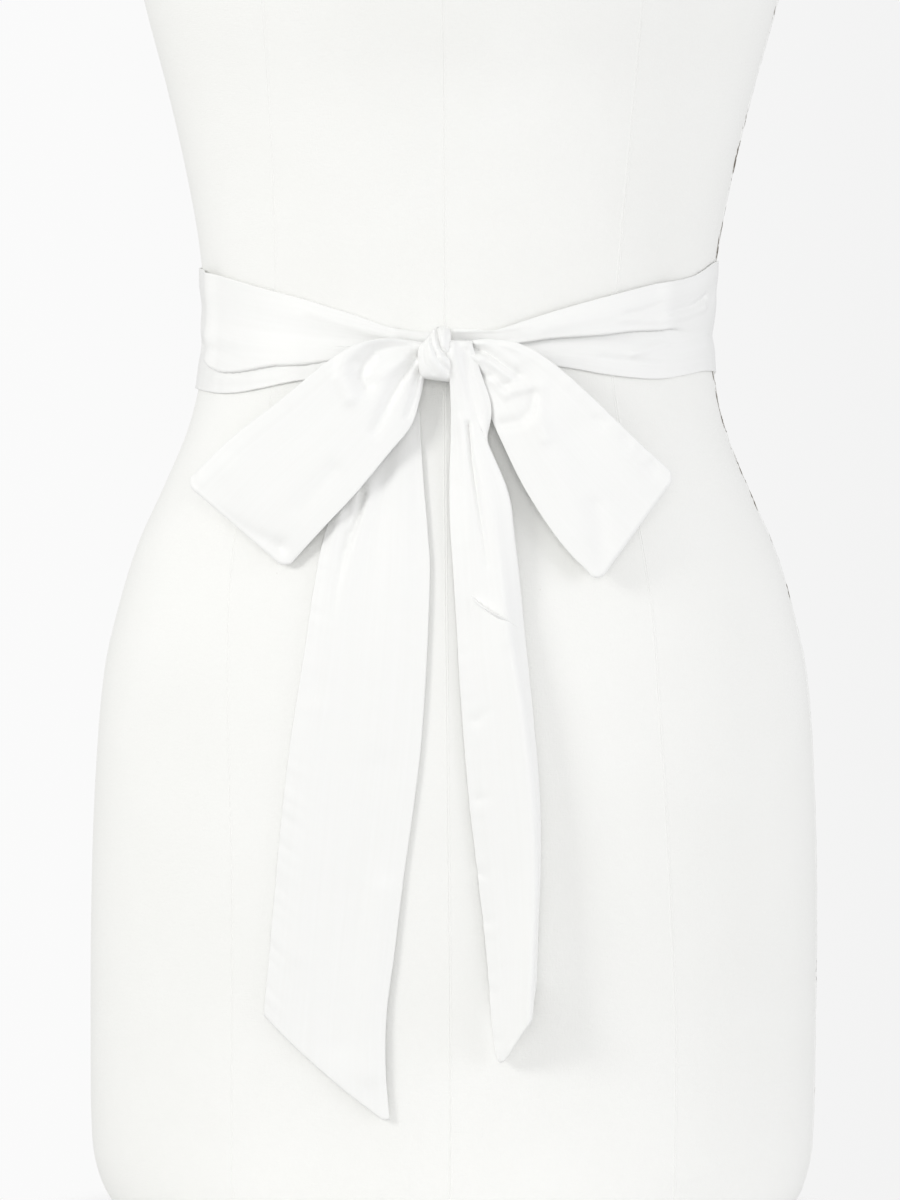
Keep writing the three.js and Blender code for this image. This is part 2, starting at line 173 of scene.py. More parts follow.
def near_line(tree, place, start, end):
    """The distance from a place to a straight line between two points, in metres."""
    start, end = Vector(start) * MM, Vector(end) * MM
    run = end - start
    from_start = put(tree, "VectorMath", {"operation": "SUBTRACT"}, i0=place, i1=start)
    along = put(tree, "VectorMath", {"operation": "DOT_PRODUCT"}, i0=from_start.outputs[0],
                i1=run / run.length_squared)
    share = put(tree, "Clamp", i0=along.outputs["Value"])
    nearest = put(tree, "VectorMath", {"operation": "SCALE"}, i0=run, Scale=share.outputs[0])
    away = put(tree, "VectorMath", {"operation": "DISTANCE"}, i0=from_start.outputs[0], i1=nearest.outputs[0])
    return away.outputs["Value"]


# Worn marks on the canvas.
SCRATCHES = [
    # from (x, y, z), to (x, y, z), half width
    ((133.9, -74.4, 172.1), (138.0, -71.0, 90.0), 0.34),
    ((118.3, -84.2, 207.7), (123.2, -81.3, 175.0), 0.16),
    ((104.0, -90.5, 292.0), (107.0, -89.5, 262.0), 0.14),
    ((-108.0, -88.0, 330.0), (-109.5, -87.0, 296.0), 0.16),
    ((-124.5, -60.0, 470.1), (-124.0, -60.2, 469.3), 0.35),
    ((-77.9, -91.6, 324.9), (-77.6, -91.7, 324.4), 0.3),
    ((43.9, -101.0, 319.0), (44.1, -101.0, 318.5), 0.25),
    ((105.6, -78.5, 324.9), (105.8, -78.5, 324.2), 0.35),
]
MARK_COLOUR = (0.42, 0.36, 0.27, 1)


def canvas_material():
    material, tree, shader = new_material("painted_canvas", 0.85, Specular_IOR_Level=0.25)
    uv = put(tree, "UVMap", {"uv_map": "cloth"}).outputs[0]
    place = put(tree, "TexCoord").outputs["Object"]
    weave = []
    for scale in ((1500.0, 330.0, 1.0), (330.0, 1500.0, 1.0)):
        threads = put(tree, "Mapping", Vector=uv, Scale=scale)
        weave.append(put(tree, "TexNoise", Vector=threads.outputs[0], Scale=1.0, Detail=2.0).outputs["Fac"])
    woven = put(tree, "Math", {"operation": "ADD"}, i0=weave[0], i1=weave[1])
    brushed = put(tree, "Mapping", Vector=place, Scale=(90.0, 90.0, 14.0))
    strokes = put(tree, "TexNoise", Vector=brushed.outputs[0], Scale=1.0, Detail=5.0, Roughness=0.65)
    relief = put(tree, "Math", {"operation": "MULTIPLY_ADD"}, i0=strokes.outputs["Fac"], i1=1.6,
                 i2=woven.outputs[0])
    bump = put(tree, "Bump", Strength=0.3, Distance=0.00035, Height=relief.outputs[0])
    tree.links.new(bump.outputs[0], shader.inputs["Normal"])
    shade = put(tree, "TexNoise", Vector=place, Scale=9.0, Detail=6.0, Roughness=0.62)
    painted = two_tones(tree, shade.outputs["Fac"], 0.32, (0.905, 0.906, 0.884), 0.66, (0.928, 0.929, 0.910))
    rough = put(tree, "MapRange", i0=strokes.outputs["Fac"], i1=0.3, i2=0.7, i3=0.78, i4=0.92)
    tree.links.new(rough.outputs[0], shader.inputs["Roughness"])
    ragged = put(tree, "TexNoise", Vector=place, Scale=700.0, Detail=2.0)
    for start, end, half_width in SCRATCHES:
        away = near_line(tree, place, start, end)
        rough_away = put(tree, "Math", {"operation": "MULTIPLY_ADD"}, i0=ragged.outputs["Fac"], i1=0.0006,
                         i2=away)
        mask = put(tree, "MapRange", i0=rough_away.outputs[0], i1=(half_width + 0.42) * MM,
                   i2=(half_width + 0.12) * MM)
        marked = put(tree, "Mix", {"data_type": "RGBA"}, Factor=mask.outputs[0])
        tree.links.new(painted, marked.inputs["A"])
        marked.inputs["B"].default_value = MARK_COLOUR
        painted = marked.outputs["Result"]
    tree.links.new(painted, shader.inputs["Base Color"])
    return material


def ring_faces(rows, columns):
    """Faces and corner places (row, column) of a tube of rings, each ring closed."""
    r, c = np.meshgrid(np.arange(rows - 1), np.arange(columns), indexing="ij")
    corners = np.stack([np.stack([r, c], -1), np.stack([r, c + 1], -1),
                        np.stack([r + 1, c + 1], -1), np.stack([r + 1, c], -1)], axis=2).reshape(-1, 4, 2)
    return corners[..., 0] * columns + corners[..., 1] % columns, corners


def end_faces(rows, columns):
    """The two flat ends of a tube of rings."""
    return [list(range(columns))[::-1], [k + (rows - 1) * columns for k in range(columns)]]


canvas = canvas_material()
FORM_RINGS, FORM_SEGMENTS = 250, 160
height = np.linspace(0, 1, FORM_RINGS)
hem, neck = FORM[0, 0], FORM[-1, 0]
ring_z = hem + (neck - hem) * (height - 0.012 * np.sin(2 * math.pi * height))
around = 2 * math.pi * np.arange(FORM_SEGMENTS) / FORM_SEGMENTS
skin_points = form_skin(around[None, :], ring_z[:, None])
skin_faces, corners = ring_faces(FORM_RINGS, FORM_SEGMENTS)
girth = 2 * math.pi * 125.0
corner_uv = np.stack([corners[..., 1] / FORM_SEGMENTS * girth, ring_z[corners[..., 0]]], axis=-1)
low_cap = np.arange(FORM_SEGMENTS)[::-1]
high_cap = np.arange(FORM_SEGMENTS) + (FORM_RINGS - 1) * FORM_SEGMENTS
all_faces = skin_faces.tolist() + [low_cap.tolist(), high_cap.tolist()]
cap_uv = np.concatenate([skin_points.reshape(-1, 3)[low_cap, :2], skin_points.reshape(-1, 3)[high_cap, :2]])
form = mesh_piece("form_skin", skin_points.reshape(-1, 3), all_faces,
                  np.concatenate([corner_uv.reshape(-1, 2), cap_uv]))
form.data.materials.append(canvas)
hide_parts("form_torso")
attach(form, "root")

# The form's seams: the canvas panels are sewn edge to edge and painted over, so that each seam is a
# fine groove between two low welts. There are seams at the centres, the sides and halfway between.
SEAM_PROFILE = [(-1.3, -0.2), (-0.9, 0.02), (-0.45, 0.11), (-0.16, 0.05), (0, -0.2),
                (0.16, 0.05), (0.45, 0.11), (0.9, 0.02), (1.3, -0.2)]
WORN_PROFILE = [(-3.4, -0.3), (-2.6, 0.3), (-1.5, 0.75), (-0.5, 0.7),
                (0.5, 0.7), (1.5, 0.55), (2.6, 0.3), (3.4, -0.3)]
SEAM_STEPS = 260
SEAMS = {
    "centre_front": [(11, 4.9), (84, 4.9), (268, 2.0), (451, -1.8), (598, -2.2), (840, -1.0), (892, -1.0)],
    "front_right": [(11, 108), (129, 107.5), (291, 97), (332, 91.7), (415, 76), (457, 77.4), (535, 83.8),
                    (589, 88.5), (640, 90), (700, 86), (760, 80), (796, 72)],
    "front_left": [(11, -97), (173, -97.7), (330, -99.7), (400, -84), (475, -82.2), (588, -86.4),
                   (640, -89), (700, -86), (760, -80), (796, -72)],
}
SEAM_ANGLES = {"side_right": 88.5, "side_left": -90, "centre_back": 180, "back_right": 142, "back_left": -142}


def seam_strip(name, angle, z, profile=SEAM_PROFILE, ragged=0.0):
    """A low welt with a groove along a line on the form, closed at its ends."""
    line = form_skin(angle, z)
    ahead = np.gradient(line, axis=0)
    outward = form_skin(angle, z, 1.0) - line
    outward /= np.linalg.norm(outward, axis=1)[:, None]
    side = np.cross(ahead, outward)
    side /= np.linalg.norm(side, axis=1)[:, None]
    profile = np.array(profile)
    lowered = ragged * np.random.default_rng(5).uniform(0, 1, (len(z), len(profile), 1))
    height = profile[None, :, 1:] * (1 - lowered)
    grid = line[:, None] + side[:, None] * profile[None, :, :1] + outward[:, None] * height
    under = grid - outward[:, None] * 0.35
    rows, columns = grid.shape[:2]
    loop = np.concatenate([grid, under[:, ::-1]], axis=1)
    faces, corners = ring_faces(rows, 2 * columns)
    uv = np.stack([corners[..., 1] * 0.4, z[corners[..., 0]]], axis=-1).reshape(-1, 2)
    piece = mesh_piece(name, loop.reshape(-1, 3), faces.tolist() + end_faces(rows, 2 * columns),
                       np.concatenate([uv, np.zeros((4 * columns, 2))]))
    outward_faces(piece)
    return piece


def outward_faces(piece):
    """Turns a closed mesh's faces so that they point out."""
    mesh = piece.data
    points = np.empty(len(mesh.vertices) * 3)
    mesh.vertices.foreach_get("co", points)
    points = points.reshape(-1, 3)
    mesh.calc_loop_triangles()
    corners = np.empty(len(mesh.loop_triangles) * 3, dtype=int)
    mesh.loop_triangles.foreach_get("vertices", corners)
    a, b, c = points[corners.reshape(-1, 3)].transpose(1, 0, 2)
    if np.einsum("ij,ij->i", a, np.cross(b, c)).sum() < 0:
        mesh.flip_normals()


def side_angle(x, z):
    """The angle round the form of a point on its front at a distance x to the side."""
    share = np.clip(x / curve(FORM, z, HALF), -1, 1)
    return np.arcsin(np.sign(share) * np.abs(share) ** (SECTION_POWER / 2))


def worn_material():
    """Painted canvas whose paint and cloth are rubbed away in patches, down to the brown board."""
    material = canvas_material()
    material.name = "worn_canvas"
    tree = material.node_tree
    shader = tree.nodes["Principled BSDF"]
    painted = shader.inputs["Base Color"].links[0].from_socket
    place = put(tree, "TexCoord").outputs["Object"]
    long = put(tree, "Mapping", Vector=place, Scale=(160.0, 160.0, 40.0))
    torn = put(tree, "TexNoise", Vector=long.outputs[0], Scale=1.0, Detail=6.0, Roughness=0.7)
    up = put(tree, "SeparateXYZ", i0=place)
    less_worn = put(tree, "MapRange", i0=up.outputs[2], i1=0.27, i2=0.46, i3=0.11, i4=0.0)
    kept = put(tree, "Math", {"operation": "SUBTRACT"}, i0=torn.outputs["Fac"], i1=less_worn.outputs[0])
    mask = put(tree, "MapRange", i0=kept.outputs[0], i1=0.5, i2=0.53)
    bare = put(tree, "Mix", {"data_type": "RGBA"}, Factor=mask.outputs[0])
    tree.links.new(painted, bare.inputs["A"])
    bare.inputs["B"].default_value = (0.17, 0.145, 0.115, 1)
    tree.links.new(bare.outputs["Result"], shader.inputs["Base Color"])
    return material


worn = worn_material()
for seam_name, points in SEAMS.items():
    z = np.linspace(points[0][0], points[-1][0], SEAM_STEPS)
    strip = seam_strip("seam_" + seam_name, side_angle(curve(points, z, 1), z), z)
    strip.data.materials.append(canvas)
    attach(strip, "root")
for seam_name, degrees in SEAM_ANGLES.items():
    z = np.linspace(11, 800 if "centre" not in seam_name else 892, SEAM_STEPS)
    is_worn = seam_name == "side_right"
    strip = seam_strip("seam_" + seam_name, np.full(SEAM_STEPS, math.radians(degrees)), z,
                       WORN_PROFILE if is_worn else SEAM_PROFILE, 0.7 if is_worn else 0.0)
    strip.data.materials.append(worn if is_worn else canvas)
    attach(strip, "root")

# The base board and the neck cap: turned and sawn boards, painted white. The form stands on the base
# board, and the cap closes its neck.
board, board_tree, board_shader = new_material("painted_board", 0.6, Specular_IOR_Level=0.35)
board_place = put(board_tree, "TexCoord").outputs["Object"]
grain = put(board_tree, "Mapping", Vector=board_place, Scale=(14.0, 160.0, 160.0))
grain_noise = put(board_tree, "TexNoise", Vector=grain.outputs[0], Scale=1.0, Detail=6.0, Roughness=0.6)
grain_tone = two_tones(board_tree, grain_noise.outputs["Fac"], 0.3, (0.74, 0.71, 0.63),
                       0.7, (0.84, 0.82, 0.77))
board_tree.links.new(grain_tone, board_shader.inputs["Base Color"])
grain_bump = put(board_tree, "Bump", Strength=0.3, Distance=0.0004, Height=grain_noise.outputs["Fac"])
board_tree.links.new(grain_bump.outputs[0], board_shader.inputs["Normal"])


def turned_piece(name, node, rings):
    """A closed solid from rings of points, with flat ends."""
    count, segments = len(rings), len(rings[0])
    faces, _ = ring_faces(count, segments)
    piece = mesh_piece(name, np.concatenate(rings), faces.tolist() + end_faces(count, segments))
    outward_faces(piece)
    piece.data.materials.append(board)
    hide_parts(node)
    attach(piece, "root")
    return piece


def inset_ring(z_form, inset, z):
    ring = form_skin(around, np.full(FORM_SEGMENTS, z_form))
    out = np.hypot(ring[:, 0], ring[:, 1])[:, None]
    ring[:, :2] *= 1 - inset / out
    ring[:, 2] = z
    return ring


turned_piece("base_board", "form_base_board",
             [inset_ring(hem, inset, z) for inset, z in ((5.2, 0), (4.2, 1), (4, 2), (4, 8), (4.6, 9.6))])
turned_piece("neck_cap", "form_neck_cap",
             [inset_ring(neck, 22 * h**3 + 0.2, neck + 0.4 + 12 * math.sin(h * math.pi / 2))
              for h in np.linspace(0, 1, 14)])

# The waistband: the sash is one satin ribbon 60 mm wide, sewn as a tube, turned and pressed, so that
# one long edge is a fold and the other a seam. Round the waist it is folded over itself along its
# length on both sides of the front, and narrows towards the knot.
SASH_WIDTH = 60.0
CLOTH = 0.8
SEAM_ALLOWANCE, SEAM_THICKENING = 7.0, 0.16
ROUND_EDGE = [0.0, 0.05, 0.16, 0.4, 0.9]


def satin_material():
    material, tree, shader = new_material("white_satin", 0.36, Specular_IOR_Level=0.5, Sheen_Weight=0.15,
                                          Sheen_Roughness=0.35, Anisotropic=0.25)
    uv = put(tree, "UVMap", {"uv_map": "cloth"}).outputs[0]
    tangent = put(tree, "Tangent", {"direction_type": "UV_MAP", "uv_map": "cloth"})
    tree.links.new(tangent.outputs[0], shader.inputs["Tangent"])
    floats = put(tree, "Mapping", Vector=uv, Scale=(170.0, 5200.0, 1.0))
    thread = put(tree, "TexNoise", Vector=floats.outputs[0], Scale=1.0, Detail=2.0, Roughness=0.5)
    slubbed = put(tree, "Mapping", Vector=uv, Scale=(11.0, 620.0, 1.0))
    slub = put(tree, "TexNoise", Vector=slubbed.outputs[0], Scale=1.0, Detail=3.0, Roughness=0.55)
    picks = stripes(tree, uv, "X", 0.00034)
    fine = put(tree, "Math", {"operation": "MULTIPLY_ADD"}, i0=picks.outputs["Fac"], i1=0.25,
               i2=thread.outputs["Fac"])
    relief = put(tree, "Math", {"operation": "MULTIPLY_ADD"}, i0=slub.outputs["Fac"], i1=0.35,
                 i2=fine.outputs[0])
    bump = put(tree, "Bump", Strength=0.2, Distance=0.00006, Height=relief.outputs[0])
    place = put(tree, "TexCoord").outputs["Object"]
    soft = put(tree, "TexNoise", Vector=place, Scale=38.0, Detail=3.0, Roughness=0.5)
    handled = put(tree, "Bump", Strength=0.22, Distance=0.0022, Height=soft.outputs["Fac"],
                  Normal=bump.outputs[0])
    tree.links.new(handled.outputs[0], shader.inputs["Normal"])
    tone = two_tones(tree, slub.outputs["Fac"], 0.3, (0.902, 0.904, 0.891), 0.7, (0.916, 0.918, 0.908))
    tree.links.new(tone, shader.inputs["Base Color"])
    gloss = put(tree, "MapRange", i0=thread.outputs["Fac"], i1=0.3, i2=0.7, i3=0.46, i4=0.58)
    tree.links.new(gloss.outputs[0], shader.inputs["Roughness"])
    return material


def smooth(x):
    t = np.clip(x, 0, 1)
    return t * t * (3 - 2 * t)


def across_places(count, width=SASH_WIDTH):
    """Places across the ribbon: evenly spaced, and close together at its two rounded edges."""
    edge = np.array(ROUND_EDGE)
    middle = np.linspace(2.0, width - 2.0, count - 2 * len(edge))
    return np.concatenate([edge, middle, width - edge[::-1]])


def grid_normals(grid):
    down = np.gradient(grid, axis=0)
    side = np.gradient(grid, axis=1)
    normal = np.cross(down, side)
    return normal / np.maximum(np.linalg.norm(normal, axis=-1), 1e-9)[..., None]


def ribbon(name, grid, places, seam_at_end, cut=(False, False), thickness=CLOTH):
    """A closed shell about a grid of points (rows along the ribbon, columns across it), with rounded
    long edges, a thicker seam along one of them, and UVs that run along and across the ribbon."""
    rows, columns = grid.shape[:2]
    normal = grid_normals(grid)
    from_edge = np.minimum(places, places[-1] - places)
    half = thickness / 2
    rounding = np.sqrt(np.clip(1 - (1 - np.minimum(from_edge / half, 1)) ** 2, 0.02, 1))
    from_seam = places[-1] - places if seam_at_end else places
    thicker = SEAM_THICKENING * (1 - smooth((from_seam - SEAM_ALLOWANCE) / 1.6 + 0.5))
    depth = np.broadcast_to((half + thicker) * rounding, (rows, columns)).copy()
    for end, is_cut in zip((slice(0, 3), slice(rows - 3, rows)), cut):
        if is_cut:
            depth[end] *= np.array([0.25, 0.7, 1.0] if end.start == 0 else [1.0, 0.7, 0.25])[:, None]
    shell = np.concatenate([(grid + normal * depth[..., None]).reshape(-1, 3),
                            (grid - normal * depth[..., None]).reshape(-1, 3)])
    step = np.linalg.norm(np.diff(grid, axis=0), axis=-1).mean(axis=1)
    length = np.concatenate([[0], np.cumsum(step)])
    r, c = np.meshgrid(np.arange(rows - 1), np.arange(columns - 1), indexing="ij")
    r, c = r.ravel(), c.ravel()
    count = rows * columns
    this_row, next_row = r * columns + c, (r + 1) * columns + c
    front = np.stack([this_row, next_row, next_row + 1, this_row + 1], -1)
    faces = [front, front[:, ::-1] + count]
    k = np.arange(rows - 1)
    for column, turned in ((0, False), (columns - 1, True)):
        rim = np.stack([k * columns + column, k * columns + column + count,
                        (k + 1) * columns + column + count, (k + 1) * columns + column], -1)
        faces.append(rim[:, ::-1] if turned else rim)
    k = np.arange(columns - 1)
    for row, turned in ((0, True), (rows - 1, False)):
        base = row * columns
        rim = np.stack([base + k, base + k + count, base + k + 1 + count, base + k + 1], -1)
        faces.append(rim[:, ::-1] if turned else rim)
    faces = np.concatenate(faces)
    at = faces % count
    corner_uv = np.stack([length[at // columns], places[at % columns]], axis=-1).reshape(-1, 2)
    piece = mesh_piece(name, shell, faces, corner_uv)
    outward_faces(piece)
    piece.data.materials.append(satin)
    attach(piece, "root")
    return piece


def press(grid, folds, places=None, outward=(0.0, -1.0, 0.0)):
    """Raises soft ridges, or presses soft troughs where the height is negative, along lines of places,
    which are (x, z) across the front unless given. A fold has its points, the height at its first and its
    last point, and its half width."""
    u, v = (grid[..., 0], grid[..., 2]) if places is None else places
    height = np.zeros(u.shape)
    for points, first, last, width in folds:
        points = np.array(points, dtype=float)
        lengths = np.linalg.norm(np.diff(points, axis=0), axis=1)
        best = np.full(u.shape, 1e9)
        share = np.zeros(u.shape)
        run = 0.0
        for start, end, length in zip(points[:-1], points[1:], lengths):
            along = (end - start) / length
            t = np.clip(((u - start[0]) * along[0] + (v - start[1]) * along[1]) / length, 0, 1)
            away = np.hypot(u - start[0] - t * length * along[0], v - start[1] - t * length * along[1])
            nearer = away < best
            best = np.where(nearer, away, best)
            share = np.where(nearer, (run + t * length) / lengths.sum(), share)
            run += length
        height += (first + (last - first) * share) * np.exp(-((best / width) ** 2))
    return grid + height[..., None] * np.asarray(outward)


def pucker(grid, places, seam_at_end, height, seed, reach=6.0):
    """Small uneven ripples along the sewn edge, where the seam draws the satin up."""
    normal = grid_normals(grid)
    step = np.linalg.norm(np.diff(grid, axis=0), axis=-1).mean(axis=1)
    length = np.concatenate([[0], np.cumsum(step)])
    from_seam = places[-1] - places if seam_at_end else places
    rng = np.random.default_rng(seed)
    ripple = np.zeros_like(length)
    for spacing in (31.0, 17.0, 10.5, 7.3):
        ripple += rng.uniform(0.5, 1.0) * np.sin(2 * math.pi * length / spacing + rng.uniform(0, 6.28))
    strength = smooth(np.interp(length, np.linspace(0, length[-1], 12), rng.uniform(0, 1.1, 12)))
    fade = np.exp(-((from_seam - 2.0) / reach) ** 2)
    return grid + normal * (height * (ripple * strength)[:, None] * fade[None, :])[..., None]


def lay_section(angle, span, waves, phase=0.0, steepest=1.3, least=0.0):
    """Sections across the ribbon, one for each row, summed from the cloth's angle at each step. Waves
    are added until a section is as narrow as its span; a ribbon gathered further is squeezed."""
    rows, steps = angle.shape
    ds = SASH_WIDTH / steps
    s = (np.arange(steps) + 0.5) * ds
    wave = np.sin(2 * math.pi * waves * s / SASH_WIDTH + np.reshape(phase, (-1, 1)))
    low, high = np.full(rows, least), np.broadcast_to(steepest, (rows,)).astype(float)
    for _ in range(22):
        middle = (low + high) / 2
        wide = np.cos(angle + middle[:, None] * wave).sum(axis=1) * ds > span
        low, high = np.where(wide, middle, low), np.where(wide, high, middle)
    reach = rows // 16
    window = np.hanning(2 * reach + 3)[1:-1]
    low = np.convolve(np.pad(low, reach, mode="edge"), window / window.sum(), mode="valid")
    angle = angle + low[:, None] * wave
    zero = np.zeros((rows, 1))
    along = np.concatenate([zero, np.cumsum(np.cos(angle) * ds, axis=1)], axis=1)
    out = np.concatenate([zero, np.cumsum(np.sin(angle) * ds, axis=1)], axis=1)
    squeeze = (span / along[:, -1])[:, None]
    return along * squeeze, out * np.minimum(squeeze, 1.0)


def at_places(section, places):
    steps = section.shape[1] - 1
    place = np.linspace(0, SASH_WIDTH, steps + 1)
    return np.stack([np.interp(places, place, row) for row in section])


satin = satin_material()
BAND = np.array([
    # angle, top, bottom, height of the lengthwise fold, how much of the ribbon is tucked behind it
    (1, 438.4, 419, 427, 0), (5, 438.0, 420, 427, 0),
    (8.6, 437.8, 421, 427.5, 3), (13.9, 441.6, 421.4, 428.8, 9),
    (20, 445.9, 421.6, 431.6, 12), (26, 449.6, 420.2, 433.6, 12), (33, 453.4, 418, 435.5, 11.4),
    (41, 457.2, 416.5, 437.2, 8.0), (48, 460.1, 416, 437.8, 5.0), (54, 461.8, 416.6, 438.2, 2.8),
    (60, 463.2, 417.9, 438.4, 1.4), (66, 465.2, 419.2, 438.4, 0.5), (71, 467.8, 420.1, 438.4, 0),
    (79, 471.5, 420.4, 440, 0), (90, 473.2, 420, 440, 0),
    (120, 471, 414.5, 440, 0), (150, 469, 411.5, 440, 0),
    (180, 469, 410.5, 440, 0), (215, 470, 411.5, 440, 0), (250, 469.5, 411, 438, 0),
    (270, 468.5, 410.5, 432, 0), (283, 467, 410, 424, 0.4), (292, 465.2, 408.9, 423, 3),
    (300, 462.9, 408, 422.6, 5.4), (308, 460.2, 408.2, 422, 6.6), (316, 457, 410, 421.2, 7.6),
    (327.5, 452.2, 413.7, 420, 9), (334, 448.6, 415, 420.4, 9), (341, 444.5, 416.5, 421.5, 8),
    (349, 438.8, 417, 424, 4), (354, 437, 417, 426, 0), (356, 436.7, 416.5, 426, 0),
], dtype=float)
BAND_FOLDS = [
    # places are (angle, height)
    ([(38, 443.6), (49, 443.2), (61, 446.2), (73, 450.4)], 0.5, 1.1, 2.0),
    ([(54, 447.4), (65, 450), (74, 455.6)], -0.4, -1.2, 1.6),
    ([(39, 446.0), (44, 447.6), (50, 451.4)], -0.5, -0.3, 1.3),
    ([(41.8, 427.4), (54, 433.3)], 0.9, 0.5, 1.7),
    ([(33.1, 425.4), (51, 423)], -0.7, -0.5, 2.0),
    ([(1, 434), (8, 434.6), (13, 436)], -1.3, -0.9, 3.0),
    ([(1, 437.0), (9, 437.4), (16, 440)], 0.7, 0.2, 0.9),
    ([(20, 440), (30, 445.4), (40, 449.6)], 0.5, 0.3, 3.4),
    ([(281, 430.8), (292, 429), (306, 427)], -1.0, -0.3, 3.0),
    ([(281, 437), (296, 434), (314, 431)], 0.7, 0.2, 4.5),
    ([(330, 446), (342, 438.6), (350, 433.6)], 0.5, 0.7, 2.2),
    ([(296, 415.6), (312, 414.4), (322, 415.6)], 0.5, 0.3, 2.4),
    ([(84, 455), (110, 452), (140, 449)], 0.8, 0.2, 5.0),
    ([(80, 436), (110, 440), (165, 438)], -0.5, -0.7, 3.5),
    ([(150, 456), (185, 452), (225, 455)], -0.8, -0.5, 4.0),
    ([(170, 430), (205, 427), (245, 431)], 0.9, 0.4, 4.0),
    ([(205, 443), (235, 440), (266, 436)], -0.9, -0.7, 3.0), ([(228, 460), (262, 457)], 0.7, 0.3, 4.0),
    ([(96, 427), (125, 423), (150, 424)], 0.6, 0.2, 3.5),
]
BAND_ROWS, BAND_COLUMNS, BAND_STEPS = 480, 78, 240
FOLD_TURN, FOLD_LIFT = 1.9, 0.8
BAND_LIFT = 1.1
band_places = across_places(BAND_COLUMNS)
band_angle = np.linspace(0.4, 358.2, BAND_ROWS)
top, bottom, fold_z, tuck = (curve(BAND, band_angle, k) for k in (1, 2, 3, 4))
tuck = np.maximum(tuck, 0)
span = top - bottom
share_laid = (span + 2 * tuck) / SASH_WIDTH
upper = (top - fold_z) / np.minimum(share_laid, 1)
turned = smooth(tuck / 5.0)
s = ((np.arange(BAND_STEPS) + 0.5) * SASH_WIDTH / BAND_STEPS)[None, :]
folded_under = smooth((s - upper[:, None]) / FOLD_TURN + 0.5)
folded_back = smooth((s - upper[:, None] - tuck[:, None]) / FOLD_TURN + 0.5)
fold_angle = -math.pi * turned[:, None] * (folded_under - folded_back)
fold_angle += (2 * FOLD_LIFT * smooth(tuck / 9) / upper)[:, None] * (s < upper[:, None])
from_knot = np.minimum(band_angle, 360 - band_angle)
wavy = 0.1 + 0.3 * (1 - smooth((from_knot - 7) / 16))
along, out = lay_section(fold_angle, span, 3, 0.5 * np.sin(np.radians(band_angle) * 1.5), steepest=wavy)
along, out = at_places(along, band_places), at_places(out, band_places)
lift = out - out.min(axis=1, keepdims=True) + BAND_LIFT
band_z = top[:, None] - along
radians = np.radians(band_angle)[:, None]
base = form_skin(radians, band_z)
outward = form_skin(radians, band_z, 1.0) - base
outward[..., 2] = 0
outward /= np.linalg.norm(outward, axis=-1)[..., None]
WAIST_HEIGHT = 440.0
arc_steps = np.diff(form_skin(radians[:, 0], WAIST_HEIGHT), axis=0)
arc = np.concatenate([[0], np.cumsum(np.linalg.norm(arc_steps, axis=1))])
on_arc = [([(np.interp(degrees, band_angle, arc), z) for degrees, z in points], *sizes)
          for points, *sizes in BAND_FOLDS]
band_grid = base + outward * lift[..., None]
band_grid = press(band_grid, on_arc, (np.broadcast_to(arc[:, None], band_z.shape), band_z), outward)
band_grid = pucker(band_grid, band_places, True, 0.1, seed=3)
waistband = ribbon("waistband", band_grid, band_places, seam_at_end=True)
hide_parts("waist_left", "waist_right", "waist_back")

# The left tail: the ribbon's end comes out below the knot, behind the left loop, and lies close on the
# form all the way down. Its end is cut on a slant, with the longer edge towards the middle.
TAIL_STEPS, TAIL_COLUMNS = 160, 64
END_SLANT = 49.0
tail_places = across_places(TAIL_COLUMNS)
TAIL_LEFT = np.array([
    # height, left edge, right edge, how far each stands off the form
    (70, -86, -22.6, 2.2, 3.0), (98, -84, -24.9, 1.9, 2.4), (123, -82, -24.6, 1.7, 2.0),
    (152, -79.4, -21.1, 1.6, 1.8), (185, -76.6, -17.3, 1.5, 1.6), (214, -74, -13.4, 1.5, 1.6),
    (246, -70.4, -9.7, 1.5, 1.6), (287, -64.4, -7.3, 1.5, 1.6), (328, -58.7, -6.4, 1.5, 1.6),
    (346, -54.7, -7.8, 1.5, 1.6), (369, -46.2, -10.2, 1.6, 1.7), (385, -39, -11.6, 1.7, 1.8),
    (400, -31, -12.8, 1.8, 1.9), (409, -26, -14.4, 1.9, 1.9),
], dtype=float)
TAIL_LEFT_SHORT_EDGE, TAIL_LEFT_ROWS = 120.7, 300
TAIL_LEFT_FOLDS = [
    ([(-38, 362), (-39.4, 354), (-43.2, 342), (-44.2, 338)], -2.6, -0.8, 1.5),
    ([(-44.4, 343), (-46.6, 333), (-49.6, 318), (-51, 304)], -1.4, -0.2, 1.9),
    ([(-34, 364), (-37.5, 347), (-42.5, 326), (-44.4, 312)], 1.5, 0.1, 3.4),
    ([(-48, 353), (-51, 340), (-54, 326)], 1.2, 0.3, 2.6),
    ([(-20, 372), (-22, 350), (-27, 300), (-34, 240)], 0.6, 0.2, 7.0),
    ([(-58, 262), (-62, 220), (-68, 150)], 0.9, 0.7, 7.0),
    ([(-30, 235), (-40, 180), (-45, 110)], -0.8, -1.3, 9.0),
    ([(-26, 180), (-31, 130), (-32, 96)], 1.1, 1.4, 6.0),
]


def tail_rows(table, hem_z, rows):
    """The heights of a hanging tail's grid: evenly spaced down each thread, as far as the slanted end."""
    start = table[-1, 0]
    share = np.linspace(0, 1, rows)[:, None]
    return start + (hem_z[None, :] - start) * share


